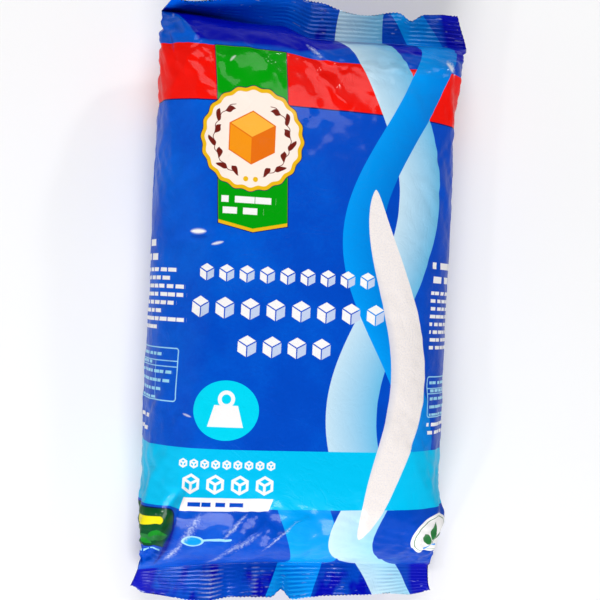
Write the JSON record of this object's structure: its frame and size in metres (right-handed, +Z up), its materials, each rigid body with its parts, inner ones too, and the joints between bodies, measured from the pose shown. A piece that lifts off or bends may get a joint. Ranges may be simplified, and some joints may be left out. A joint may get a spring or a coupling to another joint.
{
  "type": "sugar packet",
  "caption": "Full bag of printed plastic film for granulated sugar, crimped shut into a ribbed fin at both ends and lying on its back.",
  "frame": {"origin": "the middle of the box round the bag, on the surface it lies on", "axes": "+X across the bag to the right of its printed front, +Y along the bag towards the top fin, +Z up, out of the printed front"},
  "size_m": [0.13, 0.251, 0.0547],
  "materials": {
    "printed_film": "glossy printed packaging film, deep blue ground with red, cyan and pale blue fields"
  },
  "bodies": {
    "root": {"sugar_packet": "printed_film"}
  },
  "joints": []
}
